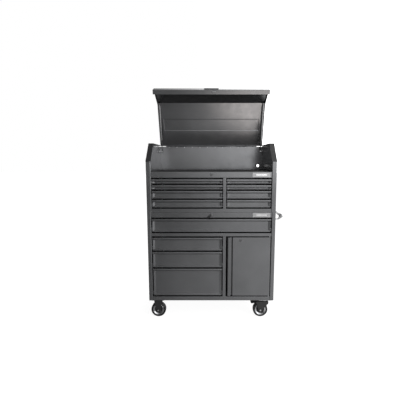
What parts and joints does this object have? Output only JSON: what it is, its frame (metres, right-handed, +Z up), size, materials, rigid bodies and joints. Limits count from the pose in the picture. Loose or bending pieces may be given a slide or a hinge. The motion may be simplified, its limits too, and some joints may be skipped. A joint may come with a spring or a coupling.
{
  "type": "tool chest and cabinet combo",
  "caption": "Two-part steel tool storage: a lidded top chest of drawers on a wheeled cabinet with drawers, a tall door, a push handle, locks and braked castors.",
  "frame": {"origin": "on the floor under the middle of the part's bounding box, with the side handle and the key counted in it", "axes": "+X along the front towards the side handle, +Y from the drawer fronts to the back wall, +Z up"},
  "size_m": [1.1384, 0.5922, 1.9604],
  "materials": {
    "badge_metal": "satin",
    "black_paint": "gloss paint",
    "black_plastic": "fine texture",
    "bright_steel": "machined",
    "grey_enamel": "satin powder coat",
    "lock_chrome": "polished",
    "mat_rubber": "ribbed",
    "pull_enamel": "satin powder coat",
    "tread_rubber": "matt",
    "tube_steel": "brushed",
    "zinc_steel": "zinc plated"
  },
  "bodies": {
    "case": {"badge_plates": "badge_metal", "badge_rivets": "bright_steel", "cabinet_back_panel": "grey_enamel", "cabinet_deck": "grey_enamel", "cabinet_floor_pan": "grey_enamel", "cabinet_front_rails": "grey_enamel", "cabinet_inner_walls": "grey_enamel", "cabinet_side_panels": "grey_enamel", "cable_grommet": "mat_rubber", "castor_plates": "zinc_steel", "chest_back_panel": "grey_enamel", "chest_floor_pan": "grey_enamel", "chest_front_rails": "grey_enamel", "chest_inner_walls": "grey_enamel", "chest_side_panels": "grey_enamel", "door_hinge_pins": "bright_steel", "lid_hinge_case_leaf": "grey_enamel", "rail_lock_housings": "lock_chrome", "rigid_castor_forks": "zinc_steel", "side_caps": "black_plastic", "side_handle": "tube_steel", "side_handle_brackets": "tube_steel", "slide_channels": "zinc_steel", "strut_case_brackets": "zinc_steel", "till_floor": "grey_enamel", "till_mat": "mat_rubber"},
    "lid": {"lid": "grey_enamel", "lid_pull": "pull_enamel", "lid_fittings": "zinc_steel", "lid_hinge_leaf": "grey_enamel"},
    "strut_rod_left_body": {"strut_rod_left": "bright_steel"},
    "strut_rod_right_body": {"strut_rod_right": "bright_steel"},
    "strut_tube_left_body": {"strut_tube_left": "black_paint"},
    "strut_tube_right_body": {"strut_tube_right": "black_paint"},
    "door": {"door_panel": "grey_enamel", "door_lock_housing": "lock_chrome"},
    "door_lock": {"door_lock_plug": "lock_chrome"},
    "chest_lock": {"chest_lock_plug": "lock_chrome"},
    "cabinet_lock": {"cabinet_lock_plug": "lock_chrome"},
    "key": {"key_head": "black_plastic"},
    "chest_drawer_left_1_body": {"chest_drawer_left_1": "grey_enamel"},
    "chest_drawer_left_2_body": {"chest_drawer_left_2": "grey_enamel"},
    "chest_drawer_left_3_body": {"chest_drawer_left_3": "grey_enamel"},
    "chest_drawer_left_4_body": {"chest_drawer_left_4": "grey_enamel"},
    "chest_drawer_right_1_body": {"chest_drawer_right_1": "grey_enamel"},
    "chest_drawer_right_2_body": {"chest_drawer_right_2": "grey_enamel"},
    "chest_drawer_right_3_body": {"chest_drawer_right_3": "grey_enamel"},
    "chest_drawer_right_4_body": {"chest_drawer_right_4": "grey_enamel"},
    "cabinet_drawer_wide_body": {"cabinet_drawer_wide": "grey_enamel"},
    "cabinet_drawer_left_1_body": {"cabinet_drawer_left_1": "grey_enamel"},
    "cabinet_drawer_left_2_body": {"cabinet_drawer_left_2": "grey_enamel"},
    "cabinet_drawer_left_3_body": {"cabinet_drawer_left_3": "grey_enamel"},
    "swivel_front": {"castor_fork_front_right": "zinc_steel"},
    "brake_front": {"brake_pedal_front": "black_plastic"},
    "wheel_front_left_body": {"wheel_front_left": "tread_rubber"},
    "wheel_front_right_body": {"wheel_front_right": "tread_rubber"},
    "swivel_rear": {"castor_fork_rear_right": "zinc_steel"},
    "brake_rear": {"brake_pedal_rear": "black_plastic"},
    "wheel_rear_left_body": {"wheel_rear_left": "tread_rubber"},
    "wheel_rear_right_body": {"wheel_rear_right": "tread_rubber"}
  },
  "joints": [
    {"name": "lid_hinge", "type": "hinge", "parent": "case", "child": "lid", "pos_m": [-0.03625, 0.28795, 1.488], "axis": [1, 0, 0], "range_deg": [0, 70]},
    {"name": "strut_swing_left", "type": "hinge", "parent": "case", "child": "strut_rod_left_body", "pos_m": [-0.50925, 0.26195, 1.435], "axis": [1, 0, 0], "range_deg": [0, 67.96]},
    {"name": "strut_slide_left", "type": "slide", "parent": "strut_rod_left_body", "child": "strut_tube_left_body", "axis": [0, -0.2895, 0.9572], "range_m": [-0.06607, 0]},
    {"name": "strut_swing_right", "type": "hinge", "parent": "case", "child": "strut_rod_right_body", "pos_m": [0.43675, 0.26195, 1.435], "axis": [1, 0, 0], "range_deg": [0, 67.96]},
    {"name": "strut_slide_right", "type": "slide", "parent": "strut_rod_right_body", "child": "strut_tube_right_body", "axis": [0, -0.2895, 0.9572], "range_m": [-0.06607, 0]},
    {"name": "chest_drawer_left_1_slide", "type": "slide", "parent": "case", "child": "chest_drawer_left_1_body", "axis": [0, -1, 0], "range_m": [0, 0.38]},
    {"name": "chest_drawer_left_2_slide", "type": "slide", "parent": "case", "child": "chest_drawer_left_2_body", "axis": [0, -1, 0], "range_m": [0, 0.38]},
    {"name": "chest_drawer_left_3_slide", "type": "slide", "parent": "case", "child": "chest_drawer_left_3_body", "axis": [0, -1, 0], "range_m": [0, 0.38]},
    {"name": "chest_drawer_left_4_slide", "type": "slide", "parent": "case", "child": "chest_drawer_left_4_body", "axis": [0, -1, 0], "range_m": [0, 0.38]},
    {"name": "chest_drawer_right_1_slide", "type": "slide", "parent": "case", "child": "chest_drawer_right_1_body", "axis": [0, -1, 0], "range_m": [0, 0.38]},
    {"name": "chest_drawer_right_2_slide", "type": "slide", "parent": "case", "child": "chest_drawer_right_2_body", "axis": [0, -1, 0], "range_m": [0, 0.38]},
    {"name": "chest_drawer_right_3_slide", "type": "slide", "parent": "case", "child": "chest_drawer_right_3_body", "axis": [0, -1, 0], "range_m": [0, 0.38]},
    {"name": "chest_drawer_right_4_slide", "type": "slide", "parent": "case", "child": "chest_drawer_right_4_body", "axis": [0, -1, 0], "range_m": [0, 0.38]},
    {"name": "cabinet_drawer_wide_slide", "type": "slide", "parent": "case", "child": "cabinet_drawer_wide_body", "axis": [0, -1, 0], "range_m": [0, 0.38]},
    {"name": "cabinet_drawer_left_1_slide", "type": "slide", "parent": "case", "child": "cabinet_drawer_left_1_body", "axis": [0, -1, 0], "range_m": [0, 0.38]},
    {"name": "cabinet_drawer_left_2_slide", "type": "slide", "parent": "case", "child": "cabinet_drawer_left_2_body", "axis": [0, -1, 0], "range_m": [0, 0.38]},
    {"name": "cabinet_drawer_left_3_slide", "type": "slide", "parent": "case", "child": "cabinet_drawer_left_3_body", "axis": [0, -1, 0], "range_m": [0, 0.38]},
    {"name": "door_hinge", "type": "hinge", "parent": "case", "child": "door", "pos_m": [0.45325, -0.25925, 0.459], "axis": [0, 0, 1], "range_deg": [0, 100]},
    {"name": "door_lock_turn", "type": "hinge", "parent": "door", "child": "door_lock", "pos_m": [0.20675, -0.26775, 0.687], "axis": [0, 1, 0], "range_deg": [0, 90]},
    {"name": "chest_lock_turn", "type": "hinge", "parent": "case", "child": "chest_lock", "pos_m": [-0.03625, -0.26775, 1.235], "axis": [0, 1, 0], "range_deg": [0, 90]},
    {"name": "cabinet_lock_turn", "type": "hinge", "parent": "case", "child": "cabinet_lock", "pos_m": [-0.03625, -0.26775, 0.90325], "axis": [0, 1, 0], "range_deg": [-58, 32]},
    {"name": "key_fold", "type": "hinge", "parent": "cabinet_lock", "child": "key", "pos_m": [-0.03625, -0.28005, 0.90325], "axis": [-0.5299, 0, 0.848], "range_deg": [0, 90]},
    {"name": "wheel_front_left_spin", "type": "hinge", "parent": "case", "child": "wheel_front_left_body", "pos_m": [-0.49625, -0.21775, 0.0635], "axis": [0, 1, 0], "continuous": true},
    {"name": "swivel_front_turn", "type": "hinge", "parent": "case", "child": "swivel_front", "pos_m": [0.42375, -0.21775, 0.14], "axis": [0, 0, 1], "continuous": true},
    {"name": "wheel_front_right_spin", "type": "hinge", "parent": "swivel_front", "child": "wheel_front_right_body", "pos_m": [0.38975, -0.21775, 0.0635], "axis": [0, 1, 0], "continuous": true},
    {"name": "brake_front_press", "type": "hinge", "parent": "swivel_front", "child": "brake_front", "pos_m": [0.36175, -0.21775, 0.131], "axis": [0, -1, 0], "range_deg": [0, 12]},
    {"name": "wheel_rear_left_spin", "type": "hinge", "parent": "case", "child": "wheel_rear_left_body", "pos_m": [-0.49625, 0.24325, 0.0635], "axis": [0, 1, 0], "continuous": true},
    {"name": "swivel_rear_turn", "type": "hinge", "parent": "case", "child": "swivel_rear", "pos_m": [0.42375, 0.24325, 0.14], "axis": [0, 0, 1], "continuous": true},
    {"name": "wheel_rear_right_spin", "type": "hinge", "parent": "swivel_rear", "child": "wheel_rear_right_body", "pos_m": [0.38975, 0.24325, 0.0635], "axis": [0, 1, 0], "continuous": true},
    {"name": "brake_rear_press", "type": "hinge", "parent": "swivel_rear", "child": "brake_rear", "pos_m": [0.36175, 0.24325, 0.131], "axis": [0, -1, 0], "range_deg": [0, 12]}
  ],
  "couplings": [
    {"joint": "strut_swing_left", "follows": "lid_hinge", "ratio": 0.96937},
    {"joint": "strut_slide_left", "follows": "lid_hinge", "m_per_rad": -0.053994},
    {"joint": "strut_swing_right", "follows": "lid_hinge", "ratio": 0.96937},
    {"joint": "strut_slide_right", "follows": "lid_hinge", "m_per_rad": -0.053994}
  ]
}
